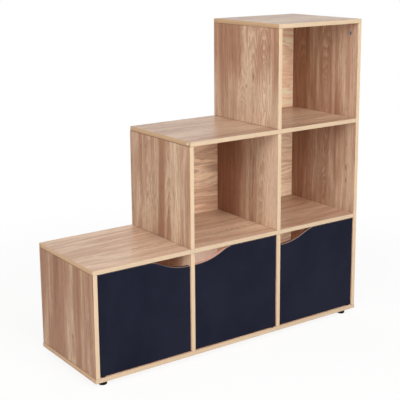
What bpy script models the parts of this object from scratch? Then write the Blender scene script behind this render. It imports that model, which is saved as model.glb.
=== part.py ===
"""Stepped cube bookcase: three columns of one, two and three cubes, doors on the lowest row.

Thin laminated boards stand on uprights and butt against the tall panel on the right. Each
upright is drawn up under its board by a cam lock and a steel bolt, and the outer joints have a
wooden dowel near the rear. Thin back panels sit in grooves. Three inset doors turn on pins in
flanged bushes, have an S-shaped finger cut-out at the free upper corner and close on magnetic
catches.

Metres, +Z up. The origin is on the floor under the middle of the bookcase, the doors face -Y.
"""

import math

import bmesh
import bpy
from mathutils import Matrix, Vector

# Carcass
CUBE_PITCH = 0.296
LEVEL_PITCH = 0.289
BOARD_THICKNESS = 0.012
DEPTH = 0.300
EDGE_ROUND = 0.0006
BOTTOM_OVERHANG = 0.0015
STEP_END_SETBACK = 0.0015
COLUMN_COUNT = 3

# Fits
SEAT_GAP = 0.0003
HOLE_GAP = 0.0003
RUNNING_GAP = 0.0001
OVERRUN = 0.002

# Back panels and their grooves
BACK_THICKNESS = 0.003
BACK_FROM_REAR = 0.012
GROOVE_DEPTH = 0.004

# Doors
DOOR_THICKNESS = 0.012
DOOR_GAP = 0.002
DOOR_INSET = 0.002
CUTOUT_WIDTH = 0.124
CUTOUT_DROP = 0.031
CUTOUT_START_PULL_SHARE = 0.25
CUTOUT_END_PULL_SHARE = 0.60
CUTOUT_STEPS = 14

# Door pins and bushes
PIN_RADIUS = 0.0025
PIN_FROM_DOOR_EDGE = 0.010
PIN_FROM_DOOR_FACE = 0.005
PIN_IN_DOOR = 0.012
PIN_IN_BUSH = 0.0060
PIN_CHAMFER = 0.0004
BUSH_WALL = 0.0013
BUSH_FLANGE_RADIUS = 0.0055
BUSH_LENGTH = 0.0070

# Cam locks and their bolts
CAM_RADIUS = 0.0075
CAM_FLOOR = 0.0025
CAM_CHAMFER = 0.0005
CAM_FROM_FRONT = 0.032
CAM_FROM_END = 0.030
CAM_DRIVE_LENGTH = 0.0080
CAM_DRIVE_WIDTH = 0.0016
CAM_DRIVE_DEPTH = 0.0012
BOLT_HEAD_RADIUS = 0.0030
BOLT_HEAD_LENGTH = 0.0020
BOLT_HEAD_FROM_CAM_CENTRE = 0.0010
BOLT_NECK_RADIUS = 0.0018
BOLT_NECK_LENGTH = 0.0075
BOLT_SHANK_RADIUS = 0.0030
BOLT_THREAD_RADIUS = 0.0025
BOLT_CHAMFER = 0.0005
BLIND_FLOOR = 0.0030

# Dowels
DOWEL_RADIUS = 0.0030
DOWEL_LONG_END = 0.019
DOWEL_FROM_REAR = 0.045
DOWEL_CHAMFER = 0.0008

# Magnetic catches and strike plates
CATCH_HOUSING_WIDTH = 0.026
CATCH_LUG_WIDTH = 0.010
CATCH_LUG_HEIGHT = 0.0022
CATCH_DEPTH = 0.012
CATCH_HEIGHT = 0.0160
CATCH_ROUND = 0.0004
CATCH_SCREW_RADIUS = 0.0018
CATCH_FROM_FREE_SIDE = 0.048
POLE_WIDTH = 0.018
POLE_THICKNESS = 0.0012
POLE_PROUD = 0.0010
POLE_SPACING = 0.0050
STRIKE_WIDTH = 0.034
STRIKE_HEIGHT = 0.010
STRIKE_THICKNESS = 0.0012
STRIKE_ROUND = 0.0025
STRIKE_SCREW_RADIUS = 0.0018

# Feet
FOOT_HEIGHT = 0.016
FOOT_TOP_RADIUS = 0.0124
FOOT_BASE_RADIUS = 0.0116
FOOT_ROUND = 0.0020
FOOT_FROM_SIDE = 0.032
FOOT_FROM_FRONT_OR_REAR = 0.025
NAIL_RADIUS = 0.0015
NAIL_LENGTH = 0.0080

# Plugs in the board ends
PLUG_CAP_RADIUS = 0.0035
PLUG_CAP_THICKNESS = 0.0012
PLUG_CAP_ROUND = 0.0004
PLUG_SHANK_RADIUS = 0.0025
PLUG_LENGTH = 0.0080
PLUG_FROM_FRONT = 0.014

# Counts of facets
SMALL_ROUND_SIDES = 14
PIN_SIDES = 16
CAM_SIDES = 24
FOOT_SIDES = 28

# Worked out from the sizes above
WIDTH = COLUMN_COUNT * CUBE_PITCH + BOARD_THICKNESS
LEFT = -WIDTH / 2
FRONT = -DEPTH / 2
REAR = DEPTH / 2
BACK_REAR_Y = REAR - BACK_FROM_REAR
BACK_FRONT_Y = BACK_REAR_Y - BACK_THICKNESS
DIVIDER_REAR = BACK_FRONT_Y - SEAT_GAP
BLIND_DEPTH = BOARD_THICKNESS - BLIND_FLOOR
CAM_BORE_RADIUS = CAM_RADIUS + HOLE_GAP
CAM_BORE_DEPTH = BOARD_THICKNESS - CAM_FLOOR
BUSH_BORE_RADIUS = (PIN_RADIUS + RUNNING_GAP) / math.cos(math.pi / PIN_SIDES)
BUSH_RADIUS = BUSH_BORE_RADIUS + BUSH_WALL
BUSH_FLANGE_THICKNESS = DOOR_GAP - 2 * SEAT_GAP
HINGE_Y = FRONT + DOOR_INSET + PIN_FROM_DOOR_FACE
DOOR_BACK_Y = FRONT + DOOR_INSET + DOOR_THICKNESS
DOOR_WIDTH = CUBE_PITCH - BOARD_THICKNESS - 2 * DOOR_GAP
DOOR_HEIGHT = LEVEL_PITCH - BOARD_THICKNESS - 2 * DOOR_GAP

# Finishes: colour, roughness, metallic
FINISHES = {
    "oak_laminate": ((0.52, 0.33, 0.21), 0.45, 0.0),
    "oak_back": ((0.50, 0.32, 0.20), 0.55, 0.0),
    "navy_laminate": ((0.016, 0.019, 0.040), 0.55, 0.0),
    "zinc": ((0.42, 0.42, 0.43), 0.40, 1.0),
    "steel": ((0.60, 0.60, 0.62), 0.30, 1.0),
    "beech": ((0.60, 0.42, 0.26), 0.70, 0.0),
    "white_plastic": ((0.80, 0.79, 0.76), 0.45, 0.0),
    "beige_plastic": ((0.68, 0.55, 0.42), 0.50, 0.0),
    "black_plastic": ((0.012, 0.011, 0.010), 0.50, 0.0),
}


def upright_left(column):
    """X of the left face of the upright at the left of a column, counted from 0."""
    return LEFT + column * CUBE_PITCH


def board_base(level):
    """Z of the underside of the board at a level, counted from 0 at the bottom."""
    return FOOT_HEIGHT + level * LEVEL_PITCH


def board_top(level):
    return board_base(level) + BOARD_THICKNESS


def clear_scene():
    for item in list(bpy.data.objects):
        bpy.data.objects.remove(item, do_unlink=True)


def finish_material(node_name, finish):
    colour, roughness, metallic = FINISHES[finish]
    material = bpy.data.materials.new(node_name + "_" + finish)
    material.use_nodes = True
    shader = material.node_tree.nodes["Principled BSDF"]
    shader.inputs["Base Color"].default_value = (*colour, 1)
    shader.inputs["Roughness"].default_value = roughness
    shader.inputs["Metallic"].default_value = metallic
    material.diffuse_color = (*colour, 1)
    return material


def link_mesh(name, shape, finish, place=(0, 0, 0), parent=None):
    """Make a named object from a bmesh whose points are relative to its place."""
    bmesh.ops.recalc_face_normals(shape, faces=shape.faces)
    mesh = bpy.data.meshes.new(name)
    shape.to_mesh(mesh)
    shape.free()
    item = bpy.data.objects.new(name, mesh)
    bpy.context.scene.collection.objects.link(item)
    if parent is None:
        item.location = place
    else:
        item.parent = parent
        item.location = Vector(place) - parent.location
    if finish:
        mesh.materials.append(finish_material(name, finish))
    return item


def hide_cutter(item):
    item.hide_render = True
    item.display_type = "WIRE"
    return item


def box_shape(low, high):
    """A closed box between two corners."""
    shape = bmesh.new()
    bmesh.ops.create_cube(shape, size=1)
    low = Vector(low)
    high = Vector(high)
    size = high - low
    bmesh.ops.scale(shape, vec=size, verts=shape.verts)
    bmesh.ops.translate(shape, vec=(low + high) / 2, verts=shape.verts)
    return shape


def rod_shape(start, end, radius, sides):
    """A closed cylinder from one point to another."""
    start = Vector(start)
    end = Vector(end)
    along = end - start
    shape = bmesh.new()
    turn = Vector((0, 0, 1)).rotation_difference(along).to_matrix().to_4x4()
    bmesh.ops.create_cone(
        shape,
        cap_ends=True,
        segments=sides,
        radius1=radius,
        radius2=radius,
        depth=along.length,
        matrix=Matrix.Translation((start + end) / 2) @ turn,
    )
    return shape


def turned_shape(profile, sides, direction=(0, 0, 1)):
    """Spin a profile of (radius, height) points about the axis through the origin.

    A profile that starts and ends on the axis closes there; any other is a ring.
    """
    shape = bmesh.new()
    points = [shape.verts.new((radius, 0, height)) for radius, height in profile]
    closed = profile[0][0] > 0
    edges = [shape.edges.new(pair) for pair in zip(points, points[1:])]
    if closed:
        edges.append(shape.edges.new((points[-1], points[0])))
    bmesh.ops.spin(
        shape,
        geom=points + edges,
        cent=(0, 0, 0),
        axis=(0, 0, 1),
        angle=2 * math.pi,
        steps=sides,
        use_merge=True,
    )
    merge_distance = SEAT_GAP / 30
    bmesh.ops.remove_doubles(shape, verts=shape.verts, dist=merge_distance)
    turn = Vector((0, 0, 1)).rotation_difference(Vector(direction)).to_matrix().to_4x4()
    bmesh.ops.transform(shape, matrix=turn, verts=shape.verts)
    return shape


def add_bevel(item, width):
    bevel = item.modifiers.new("edge", "BEVEL")
    bevel.width = width
    bevel.segments = 1
    bevel.limit_method = "ANGLE"
    bevel.angle_limit = math.radians(40)
    return item


def cut(item, shape, operation="DIFFERENCE"):
    """Cut a shape in world coordinates out of an object, or join it on."""
    number = len(item.modifiers)
    cutter = hide_cutter(link_mesh("%s_tool_%02d" % (item.name, number), shape, None))
    boolean = item.modifiers.new("cut_%02d" % number, "BOOLEAN")
    boolean.operation = operation
    boolean.solver = "EXACT"
    boolean.object = cutter
    return item


def smooth_rounds(item):
    """Shade curved sides smooth and keep real edges sharp."""
    item.data.shade_smooth()
    item.data.set_sharp_from_angle(angle=math.radians(35))
    return item


def make_plank(name, low, high, finish="oak_laminate"):
    low = Vector(low)
    high = Vector(high)
    middle = (low + high) / 2
    plank = link_mesh(name, box_shape(low - middle, high - middle), finish, middle)
    return add_bevel(plank, EDGE_ROUND)


def make_boards():
    """The four horizontal boards; each rests on the uprights below it."""
    right_seat = upright_left(COLUMN_COUNT) - SEAT_GAP
    outer_right = LEFT + WIDTH
    ends = [
        ("bottom_board", LEFT - BOTTOM_OVERHANG, outer_right + BOTTOM_OVERHANG),
        ("level_1_board", LEFT, right_seat),
        ("level_2_board", upright_left(1) + STEP_END_SETBACK, right_seat),
        ("top_board", upright_left(2), outer_right),
    ]
    boards = []
    for level, (name, left, right) in enumerate(ends):
        low = (left, FRONT, board_base(level))
        high = (right, REAR, board_top(level))
        boards.append(make_plank(name, low, high))
    return boards


def make_uprights():
    """The seven uprights, by name, with the column and the levels that they stand between."""
    stands = [
        ("left_side_panel", 0, 0, 1, REAR),
        ("lower_divider_1", 1, 0, 1, DIVIDER_REAR),
        ("lower_divider_2", 2, 0, 1, DIVIDER_REAR),
        ("middle_left_panel", 1, 1, 2, REAR),
        ("middle_divider", 2, 1, 2, DIVIDER_REAR),
        ("top_left_panel", 2, 2, 3, REAR),
        ("right_side_panel", 3, 0, 3, REAR),
    ]
    uprights = {}
    for name, column, lower, upper, rear in stands:
        left = upright_left(column)
        low = (left, FRONT, board_top(lower) + SEAT_GAP)
        high = (left + BOARD_THICKNESS, rear, board_base(upper) - SEAT_GAP)
        uprights[name] = make_plank(name, low, high)
    return uprights


def groove_box(low_x, high_x, low_z, high_z):
    low = (low_x, BACK_FRONT_Y - SEAT_GAP, low_z)
    high = (high_x, BACK_REAR_Y + SEAT_GAP, high_z)
    return box_shape(low, high)


def make_backs(boards, uprights):
    """One back panel for each row, let into grooves on all four sides."""
    tongue = GROOVE_DEPTH - SEAT_GAP
    right_wall = upright_left(COLUMN_COUNT)
    rows = [
        ("lower_back_panel", "left_side_panel", 0),
        ("middle_back_panel", "middle_left_panel", 1),
        ("top_back_panel", "top_left_panel", 2),
    ]
    for name, left_upright, level in rows:
        left_wall = upright_left(level) + BOARD_THICKNESS
        floor = board_top(level)
        ceiling = board_base(level + 1)
        low = (left_wall - tongue, BACK_FRONT_Y, floor - tongue)
        high = (right_wall + tongue, BACK_REAR_Y, ceiling + tongue)
        make_plank(name, low, high, "oak_back")
        groove_left = left_wall - GROOVE_DEPTH
        groove_right = right_wall + GROOVE_DEPTH
        lower = groove_box(groove_left, groove_right, floor - GROOVE_DEPTH, floor + OVERRUN)
        upper = groove_box(groove_left, groove_right, ceiling - OVERRUN, ceiling + GROOVE_DEPTH)
        side = groove_box(groove_left, left_wall + OVERRUN, floor - OVERRUN, ceiling + OVERRUN)
        cut(boards[level], lower)
        cut(boards[level + 1], upper)
        cut(uprights[left_upright], side)
    tall_base = board_top(0) - OVERRUN
    tall_top = board_base(COLUMN_COUNT) + OVERRUN
    tall_groove = groove_box(right_wall - OVERRUN, right_wall + GROOVE_DEPTH, tall_base, tall_top)
    cut(uprights["right_side_panel"], tall_groove)


def cutout_curve():
    """The S-curve of the finger cut-out, as (distance from the free edge, drop) points.

    A cubic curve that leaves the top edge level, falls fast and runs out flat at the free edge.
    """
    start = Vector((CUTOUT_WIDTH, 0))
    start_pull = start - Vector((CUTOUT_WIDTH * CUTOUT_START_PULL_SHARE, 0))
    end = Vector((0, CUTOUT_DROP))
    end_pull = end + Vector((CUTOUT_WIDTH * CUTOUT_END_PULL_SHARE, 0))
    points = []
    for step in range(CUTOUT_STEPS + 1):
        share = step / CUTOUT_STEPS
        rest = 1 - share
        points.append(
            rest**3 * start
            + 3 * rest**2 * share * start_pull
            + 3 * rest * share**2 * end_pull
            + share**3 * end
        )
    return points


def door_shape(hand):
    """A door slab about its hinge axis; hand is 1 with the hinge on the left, -1 on the right."""
    hinge_edge = -PIN_FROM_DOOR_EDGE
    free_edge = DOOR_WIDTH - PIN_FROM_DOOR_EDGE
    outline = [(hinge_edge, 0), (hinge_edge, DOOR_HEIGHT)]
    outline += [(free_edge - inward, DOOR_HEIGHT - drop) for inward, drop in cutout_curve()]
    outline.append((free_edge, 0))
    face_y = -PIN_FROM_DOOR_FACE
    shape = bmesh.new()
    corners = [shape.verts.new((hand * x, face_y, z)) for x, z in outline]
    face = shape.faces.new(corners)
    result = bmesh.ops.extrude_face_region(shape, geom=[face])
    moved = [part for part in result["geom"] if isinstance(part, bmesh.types.BMVert)]
    bmesh.ops.translate(shape, vec=(0, DOOR_THICKNESS, 0), verts=moved)
    return shape


def pin_profile():
    length = PIN_IN_DOOR + DOOR_GAP + PIN_IN_BUSH
    tip = PIN_RADIUS - PIN_CHAMFER
    return [
        (0, 0),
        (tip, 0),
        (PIN_RADIUS, PIN_CHAMFER),
        (PIN_RADIUS, length - PIN_CHAMFER),
        (tip, length),
        (0, length),
    ]


def bush_profile():
    """Flange first, from the height where the flange faces the door."""
    under_flange = -BUSH_FLANGE_THICKNESS
    foot = under_flange - BUSH_LENGTH
    return [
        (BUSH_BORE_RADIUS, 0),
        (BUSH_FLANGE_RADIUS, 0),
        (BUSH_FLANGE_RADIUS, under_flange),
        (BUSH_RADIUS, under_flange),
        (BUSH_RADIUS, foot),
        (BUSH_BORE_RADIUS, foot),
    ]


def make_door(side, column, hand, boards):
    """A door with its two pins, their bushes in the boards, its strike plate and its catch."""
    opening_left = upright_left(column) + BOARD_THICKNESS
    opening_right = upright_left(column + 1)
    floor = board_top(0)
    ceiling = board_base(1)
    if hand > 0:
        hinge_wall = opening_left
        free_wall = opening_right
    else:
        hinge_wall = opening_right
        free_wall = opening_left
    hinge_x = hinge_wall + hand * (DOOR_GAP + PIN_FROM_DOOR_EDGE)
    door_base = floor + DOOR_GAP
    door_top = ceiling - DOOR_GAP

    hinge = bpy.data.objects.new("%s_door_hinge_axis" % side, None)
    bpy.context.scene.collection.objects.link(hinge)
    hinge.location = (hinge_x, HINGE_Y, door_base)

    door = link_mesh("%s_door" % side, door_shape(hand), "navy_laminate", hinge.location, hinge)
    add_bevel(door, EDGE_ROUND)
    hole_radius = PIN_RADIUS + HOLE_GAP
    bush_hole_radius = BUSH_RADIUS + HOLE_GAP
    ends = [
        ("lower", boards[0], floor, door_base, 1),
        ("upper", boards[1], ceiling, door_top, -1),
    ]
    for end, board, board_face, door_edge, up in ends:
        inner = door_edge + up * (PIN_IN_DOOR + SEAT_GAP)
        outer = door_edge - up * OVERRUN
        hole = rod_shape((hinge_x, HINGE_Y, inner), (hinge_x, HINGE_Y, outer), hole_radius, PIN_SIDES)
        cut(door, hole)

        pin_tip = board_face - up * PIN_IN_BUSH
        pin = link_mesh(
            "%s_door_%s_pin" % (side, end),
            turned_shape(pin_profile(), PIN_SIDES, (0, 0, up)),
            "steel",
            (hinge_x, HINGE_Y, pin_tip),
            hinge,
        )
        smooth_rounds(pin)

        flange_top = board_face + up * (SEAT_GAP + BUSH_FLANGE_THICKNESS)
        bush = link_mesh(
            "%s_door_%s_bush" % (side, end),
            turned_shape(bush_profile(), PIN_SIDES, (0, 0, up)),
            "black_plastic",
            (hinge_x, HINGE_Y, flange_top),
        )
        smooth_rounds(bush)
        hole_end = board_face - up * (BUSH_LENGTH + SEAT_GAP)
        mouth = board_face + up * OVERRUN
        hole_start = (hinge_x, HINGE_Y, hole_end)
        cut(board, rod_shape(hole_start, (hinge_x, HINGE_Y, mouth), bush_hole_radius, PIN_SIDES))

    catch_x = free_wall - hand * CATCH_FROM_FREE_SIDE
    catch_z = floor + SEAT_GAP
    make_strike("%s_strike_plate" % side, catch_x, catch_z + CATCH_HEIGHT / 2, hinge)
    make_catch("%s_magnetic_catch" % side, catch_x, catch_z)


def make_strike(name, centre_x, centre_z, hinge):
    """A steel plate on the back of the door, with rounded corners and a screw hole."""
    half_width = STRIKE_WIDTH / 2
    half_height = STRIKE_HEIGHT / 2
    plate_y = DOOR_BACK_Y + SEAT_GAP
    shape = box_shape((-half_width, 0, -half_height), (half_width, STRIKE_THICKNESS, half_height))
    corners = []
    for edge in shape.edges:
        direction = edge.verts[0].co - edge.verts[1].co
        if abs(direction.y) > max(abs(direction.x), abs(direction.z)):
            corners.append(edge)
    bmesh.ops.bevel(shape, geom=corners, offset=STRIKE_ROUND, segments=4, profile=0.5, affect="EDGES")
    plate = link_mesh(name, shape, "steel", (centre_x, plate_y, centre_z), hinge)
    hole_start = (centre_x, plate_y - OVERRUN, centre_z)
    hole_end = (centre_x, plate_y + STRIKE_THICKNESS + OVERRUN, centre_z)
    cut(plate, rod_shape(hole_start, hole_end, STRIKE_SCREW_RADIUS, SMALL_ROUND_SIDES))
    return smooth_rounds(plate)


def make_catch(name, centre_x, base_z):
    """A magnet housing with a screw lug at each end and two steel poles that face the door."""
    pole_face = DOOR_BACK_Y + SEAT_GAP + STRIKE_THICKNESS + SEAT_GAP
    housing_y = pole_face + POLE_PROUD
    half_housing = CATCH_HOUSING_WIDTH / 2
    half_width = half_housing + CATCH_LUG_WIDTH
    outline = [
        (-half_width, 0),
        (-half_width, CATCH_LUG_HEIGHT),
        (-half_housing, CATCH_LUG_HEIGHT),
        (-half_housing, CATCH_HEIGHT),
        (half_housing, CATCH_HEIGHT),
        (half_housing, CATCH_LUG_HEIGHT),
        (half_width, CATCH_LUG_HEIGHT),
        (half_width, 0),
    ]
    shape = bmesh.new()
    face = shape.faces.new([shape.verts.new((x, 0, z)) for x, z in outline])
    result = bmesh.ops.extrude_face_region(shape, geom=[face])
    moved = [part for part in result["geom"] if isinstance(part, bmesh.types.BMVert)]
    bmesh.ops.translate(shape, vec=(0, CATCH_DEPTH, 0), verts=moved)
    catch = link_mesh(name, shape, "white_plastic", (centre_x, housing_y, base_z))
    add_bevel(catch, CATCH_ROUND)
    for side in (-1, 1):
        pole_z = base_z + CATCH_HEIGHT / 2 + side * POLE_SPACING / 2
        low = (centre_x - POLE_WIDTH / 2, pole_face, pole_z - POLE_THICKNESS / 2)
        high = (centre_x + POLE_WIDTH / 2, housing_y + OVERRUN, pole_z + POLE_THICKNESS / 2)
        cut(catch, box_shape(low, high), "UNION")
        screw_x = centre_x + side * (half_housing + CATCH_LUG_WIDTH / 2)
        screw_y = housing_y + CATCH_DEPTH / 2
        start = (screw_x, screw_y, base_z - OVERRUN)
        end = (screw_x, screw_y, base_z + CATCH_LUG_HEIGHT + OVERRUN)
        cut(catch, rod_shape(start, end, CATCH_SCREW_RADIUS, SMALL_ROUND_SIDES))
    return catch


def make_cam(name, face_x, inward, centre_y, centre_z):
    """A cam disc in its bore: cross recess outside, bolt pocket and neck slot inside.

    The disc lies with its outer face in the upright's face; inward is the way into the upright.
    """
    thickness = CAM_BORE_DEPTH - SEAT_GAP
    disc = link_mesh(
        name,
        turned_shape(
            [
                (0, 0),
                (CAM_RADIUS - CAM_CHAMFER, 0),
                (CAM_RADIUS, CAM_CHAMFER),
                (CAM_RADIUS, thickness),
                (0, thickness),
            ],
            CAM_SIDES,
            (inward, 0, 0),
        ),
        "zinc",
        (face_x, centre_y, centre_z),
    )
    smooth_rounds(disc)
    half_long = CAM_DRIVE_LENGTH / 2
    half_wide = CAM_DRIVE_WIDTH / 2
    drive_floor = face_x + inward * CAM_DRIVE_DEPTH
    drive_mouth = face_x - inward * OVERRUN
    xs = sorted((drive_floor, drive_mouth))
    for half_y, half_z in ((half_long, half_wide), (half_wide, half_long)):
        low = (xs[0], centre_y - half_y, centre_z - half_z)
        high = (xs[1], centre_y + half_y, centre_z + half_z)
        cut(disc, box_shape(low, high))
    bolt_x = face_x + inward * BOARD_THICKNESS / 2
    head_radius = BOLT_HEAD_RADIUS + 2 * HOLE_GAP
    neck_radius = BOLT_NECK_RADIUS + 2 * HOLE_GAP
    pocket_low = centre_z + BOLT_HEAD_FROM_CAM_CENTRE - SEAT_GAP - BOLT_CHAMFER
    pocket_high = centre_z + BOLT_HEAD_FROM_CAM_CENTRE + BOLT_HEAD_LENGTH + 2 * SEAT_GAP
    rim = centre_z + CAM_RADIUS + OVERRUN
    back_x = face_x + inward * (CAM_BORE_DEPTH + OVERRUN)
    pocket_xs = sorted((bolt_x - inward * head_radius, back_x))
    slot_xs = sorted((bolt_x - inward * neck_radius, back_x))
    pocket_start = (pocket_xs[0], centre_y - head_radius, pocket_low)
    pocket_end = (pocket_xs[1], centre_y + head_radius, pocket_high)
    cut(disc, box_shape(pocket_start, pocket_end))
    slot_start = (slot_xs[0], centre_y - neck_radius, pocket_low)
    slot_end = (slot_xs[1], centre_y + neck_radius, rim)
    cut(disc, box_shape(slot_start, slot_end))
    return disc


def bolt_profile(base_z, cam_centre_z):
    """From the head in the cam to the threaded end in the board, heights from the head's foot."""
    head_foot = cam_centre_z + BOLT_HEAD_FROM_CAM_CENTRE
    total = base_z + BLIND_DEPTH - SEAT_GAP - head_foot
    neck_top = BOLT_HEAD_LENGTH + BOLT_NECK_LENGTH
    shank_top = base_z - SEAT_GAP - head_foot
    return [
        (0, 0),
        (BOLT_HEAD_RADIUS, 0),
        (BOLT_HEAD_RADIUS, BOLT_HEAD_LENGTH),
        (BOLT_NECK_RADIUS, BOLT_HEAD_LENGTH),
        (BOLT_NECK_RADIUS, neck_top),
        (BOLT_SHANK_RADIUS, neck_top + BOLT_CHAMFER),
        (BOLT_SHANK_RADIUS, shank_top),
        (BOLT_THREAD_RADIUS, shank_top),
        (BOLT_THREAD_RADIUS, total - BOLT_CHAMFER),
        (0, total),
    ]


def make_cam_joint(upright, name, column, level, face_side, board):
    """A cam in an upright's face and a bolt from it up into the board above."""
    left = upright_left(column)
    underside = board_base(level)
    upright_end = underside - SEAT_GAP
    cam_y = FRONT + CAM_FROM_FRONT
    cam_z = upright_end - CAM_FROM_END
    bolt_x = left + BOARD_THICKNESS / 2
    if face_side > 0:
        face_x = left + BOARD_THICKNESS
    else:
        face_x = left
    inward = -face_side
    bore_mouth = (face_x - inward * OVERRUN, cam_y, cam_z)
    bore_floor = (face_x + inward * CAM_BORE_DEPTH, cam_y, cam_z)
    cut(upright, rod_shape(bore_floor, bore_mouth, CAM_BORE_RADIUS, CAM_SIDES))
    shank_hole = BOLT_SHANK_RADIUS + HOLE_GAP
    shank_start = (bolt_x, cam_y, cam_z)
    shank_end = (bolt_x, cam_y, upright_end + OVERRUN)
    cut(upright, rod_shape(shank_start, shank_end, shank_hole, SMALL_ROUND_SIDES))
    thread_hole = BOLT_THREAD_RADIUS + HOLE_GAP
    thread_start = (bolt_x, cam_y, underside - OVERRUN)
    thread_end = (bolt_x, cam_y, underside + BLIND_DEPTH)
    cut(board, rod_shape(thread_start, thread_end, thread_hole, SMALL_ROUND_SIDES))
    make_cam("%s_cam_lock" % name, face_x, inward, cam_y, cam_z)
    bolt = link_mesh(
        "%s_cam_bolt" % name,
        turned_shape(bolt_profile(underside, cam_z), SMALL_ROUND_SIDES),
        "steel",
        (bolt_x, cam_y, cam_z + BOLT_HEAD_FROM_CAM_CENTRE),
    )
    smooth_rounds(bolt)


def make_dowel(name, start, direction, long_piece, short_piece):
    """A wooden dowel across a joint: its long end lies in one piece, its short end in the other.

    Start is the middle of the joint, on the face of the short piece; direction points into it.
    """
    way = Vector(direction)
    start = Vector(start)
    tail = start - way * DOWEL_LONG_END
    tip = DOWEL_RADIUS - DOWEL_CHAMFER
    length = DOWEL_LONG_END + BLIND_DEPTH - SEAT_GAP
    profile = [
        (0, 0),
        (tip, 0),
        (DOWEL_RADIUS, DOWEL_CHAMFER),
        (DOWEL_RADIUS, length - DOWEL_CHAMFER),
        (tip, length),
        (0, length),
    ]
    shape = turned_shape(profile, SMALL_ROUND_SIDES, direction)
    smooth_rounds(link_mesh("%s_dowel" % name, shape, "beech", tail))
    hole_radius = DOWEL_RADIUS + HOLE_GAP
    long_hole = rod_shape(tail - way * SEAT_GAP, start + way * OVERRUN, hole_radius, SMALL_ROUND_SIDES)
    cut(long_piece, long_hole)
    short_end = start + way * BLIND_DEPTH
    cut(short_piece, rod_shape(start - way * OVERRUN, short_end, hole_radius, SMALL_ROUND_SIDES))


def make_joints(boards, uprights):
    """Cam joints at the upper end of every upright; dowels in the outer uprights and board ends."""
    joints = [
        ("left_side_panel", "left_side", 0, 1, 1, True),
        ("lower_divider_1", "lower_divider_1", 1, 1, 1, False),
        ("lower_divider_2", "lower_divider_2", 2, 1, 1, False),
        ("middle_left_panel", "middle_left", 1, 2, 1, True),
        ("middle_divider", "middle_divider", 2, 2, 1, False),
        ("top_left_panel", "top_left", 2, 3, 1, True),
        ("right_side_panel", "right_side", 3, 3, -1, False),
    ]
    dowel_y = REAR - DOWEL_FROM_REAR
    for upright_name, name, column, level, face_side, has_dowel in joints:
        upright = uprights[upright_name]
        board = boards[level]
        make_cam_joint(upright, name, column, level, face_side, board)
        if has_dowel:
            middle = (upright_left(column) + BOARD_THICKNESS / 2, dowel_y, board_base(level))
            make_dowel(name, middle, (0, 0, 1), upright, board)
    right_panel = uprights["right_side_panel"]
    for level in (1, 2):
        middle = (upright_left(COLUMN_COUNT), dowel_y, board_base(level) + BOARD_THICKNESS / 2)
        make_dowel("level_%d_board" % level, middle, (1, 0, 0), boards[level], right_panel)


def foot_profile():
    """Nail on top of a tapered foot with a rounded base; heights from the floor."""
    top = FOOT_HEIGHT - SEAT_GAP
    tip = top + NAIL_LENGTH
    profile = [(0, 0), (FOOT_BASE_RADIUS - FOOT_ROUND, 0)]
    for quarter in (0.25, 0.5, 0.75, 1.0):
        angle = quarter * math.pi / 2
        out = FOOT_BASE_RADIUS - FOOT_ROUND + FOOT_ROUND * math.sin(angle)
        profile.append((out, FOOT_ROUND - FOOT_ROUND * math.cos(angle)))
    profile += [(FOOT_TOP_RADIUS, top), (NAIL_RADIUS, top), (NAIL_RADIUS, tip - NAIL_RADIUS), (0, tip)]
    return profile


def make_feet(bottom_board):
    """Four nail-in feet near the corners of the bottom board."""
    for row, row_y in (("front", FRONT + FOOT_FROM_FRONT_OR_REAR), ("rear", REAR - FOOT_FROM_FRONT_OR_REAR)):
        for side, side_x in (("left", LEFT + FOOT_FROM_SIDE), ("right", LEFT + WIDTH - FOOT_FROM_SIDE)):
            foot = link_mesh(
                "foot_%s_%s" % (row, side),
                turned_shape(foot_profile(), FOOT_SIDES),
                "black_plastic",
                (side_x, row_y, 0),
            )
            smooth_rounds(foot)
            hole_start = (side_x, row_y, FOOT_HEIGHT - OVERRUN)
            hole_end = (side_x, row_y, FOOT_HEIGHT + NAIL_LENGTH + SEAT_GAP)
            cut(bottom_board, rod_shape(hole_start, hole_end, NAIL_RADIUS + HOLE_GAP, SMALL_ROUND_SIDES))


def make_end_plug(name, board, end_x, level, finish):
    """A plastic plug let in flush with the left end of a board, under a wider cap."""
    plug_y = FRONT + PLUG_FROM_FRONT
    plug_z = board_base(level) + BOARD_THICKNESS / 2
    shoulder = PLUG_LENGTH - PLUG_CAP_THICKNESS
    profile = [
        (0, 0),
        (PLUG_SHANK_RADIUS, 0),
        (PLUG_SHANK_RADIUS, shoulder),
        (PLUG_CAP_RADIUS, shoulder),
        (PLUG_CAP_RADIUS, PLUG_LENGTH - PLUG_CAP_ROUND),
        (PLUG_CAP_RADIUS - PLUG_CAP_ROUND, PLUG_LENGTH),
        (0, PLUG_LENGTH),
    ]
    inner_x = end_x + PLUG_LENGTH
    shape = turned_shape(profile, PIN_SIDES, (-1, 0, 0))
    smooth_rounds(link_mesh(name, shape, finish, (inner_x, plug_y, plug_z)))
    mouth = (end_x - OVERRUN, plug_y, plug_z)
    hole_end = (inner_x + SEAT_GAP, plug_y, plug_z)
    cap_seat = (end_x + PLUG_CAP_THICKNESS + SEAT_GAP, plug_y, plug_z)
    cut(board, rod_shape(hole_end, mouth, PLUG_SHANK_RADIUS + HOLE_GAP, PIN_SIDES))
    cut(board, rod_shape(cap_seat, mouth, PLUG_CAP_RADIUS + HOLE_GAP, PIN_SIDES))


def main():
    clear_scene()
    boards = make_boards()
    uprights = make_uprights()
    make_backs(boards, uprights)
    for side, column, hand in (("left", 0, 1), ("middle", 1, -1), ("right", 2, -1)):
        make_door(side, column, hand, boards)
    make_joints(boards, uprights)
    make_feet(boards[0])
    make_end_plug("bottom_board_end_plug", boards[0], LEFT - BOTTOM_OVERHANG, 0, "beige_plastic")
    step_end = upright_left(1) + STEP_END_SETBACK
    make_end_plug("level_2_board_end_plug", boards[2], step_end, 2, "white_plastic")


main()
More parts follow.
